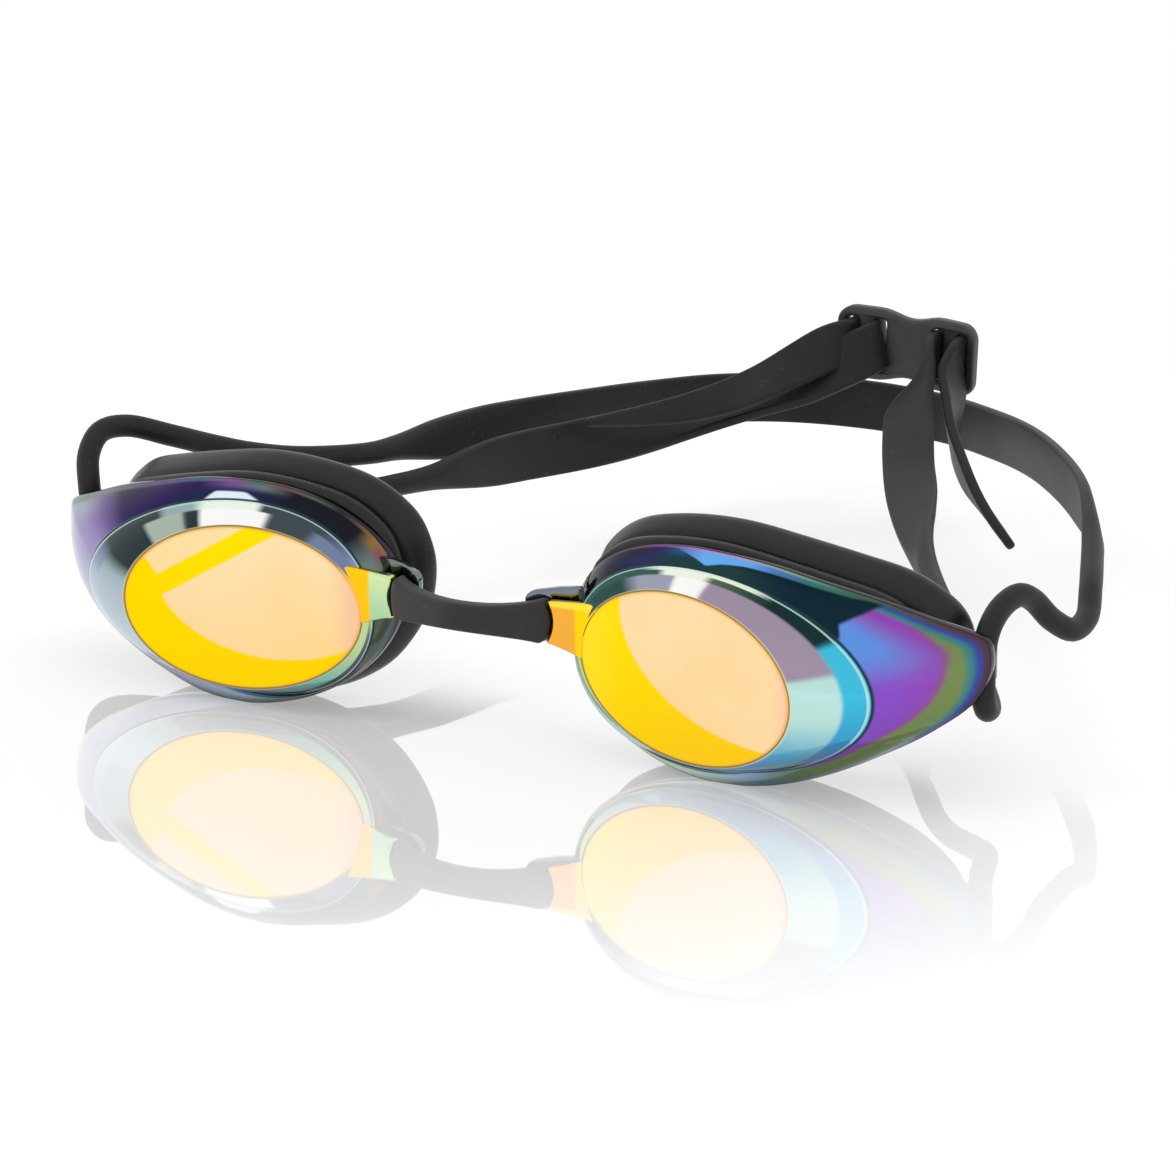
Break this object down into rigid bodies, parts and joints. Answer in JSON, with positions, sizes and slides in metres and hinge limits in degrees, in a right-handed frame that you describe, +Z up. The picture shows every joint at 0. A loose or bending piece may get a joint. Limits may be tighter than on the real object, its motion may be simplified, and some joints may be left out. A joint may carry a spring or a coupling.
{
  "type": "swim goggles",
  "caption": "Mirrored racing swim goggles with flat oval windows, side wings, silicone gaskets, a clip-on nose bridge and a split silicone strap with a rear buckle.",
  "frame": {"origin": "middle of the base of the whole object's box, on the table", "axes": "+X across the face (left and right are as seen from the front, so +X is right and the wearer's left temple), +Y from the lenses back to the rear buckle, +Z up"},
  "size_m": [0.158, 0.1482, 0.0365],
  "materials": {
    "mirrored_lens": "glossy interference mirror coating, yellow gold on the window and violet to teal on the wing",
    "gasket_silicone": "matte black moulded silicone",
    "strap_silicone": "matte black silicone with a faint sheen",
    "bridge_rubber": "dark grey matte elastomer",
    "buckle_plastic": "fine-textured black moulded plastic"
  },
  "bodies": {
    "eyecups": {"left_lens": "mirrored_lens", "right_lens": "mirrored_lens", "left_gasket": "gasket_silicone", "right_gasket": "gasket_silicone", "left_wing_loop": "strap_silicone", "right_wing_loop": "strap_silicone"},
    "bridge": {"nose_bridge": "bridge_rubber"},
    "upper_strap": {"left_upper_strap": "strap_silicone", "right_upper_strap": "strap_silicone"},
    "upper_strap_rear": {"rear_band": "strap_silicone"},
    "lower_strap": {"left_lower_strap": "strap_silicone", "right_lower_strap": "strap_silicone"},
    "lower_strap_rear": {"left_adjustable_band": "strap_silicone", "right_adjustable_band": "strap_silicone", "buckle": "buckle_plastic", "left_buckle_turn": "strap_silicone", "right_buckle_turn": "strap_silicone", "left_tail": "strap_silicone", "right_tail": "strap_silicone"}
  },
  "joints": [
    {"name": "bridge_unclip", "type": "slide", "parent": "eyecups", "child": "bridge", "axis": [0, -1, 0], "range_m": [0, 0.01]},
    {"name": "upper_strap_swing", "type": "hinge", "parent": "eyecups", "child": "upper_strap", "pos_m": [-0.00258, -0.05286, 0.02426], "axis": [1, 0, 0], "range_deg": [0, 35], "stiffness_Nm_per_rad": 0.1},
    {"name": "upper_strap_stretch", "type": "slide", "parent": "upper_strap", "child": "upper_strap_rear", "axis": [0, 1, 0], "range_m": [0, 0.02], "stiffness_N_per_m": 300},
    {"name": "lower_strap_swing", "type": "hinge", "parent": "eyecups", "child": "lower_strap", "pos_m": [-0.00258, -0.04886, 0.01146], "axis": [1, 0, 0], "range_deg": [-6, 0], "stiffness_Nm_per_rad": 0.3},
    {"name": "lower_strap_stretch", "type": "slide", "parent": "lower_strap", "child": "lower_strap_rear", "axis": [0, 1, 0], "range_m": [0, 0.008], "stiffness_N_per_m": 300}
  ]
}
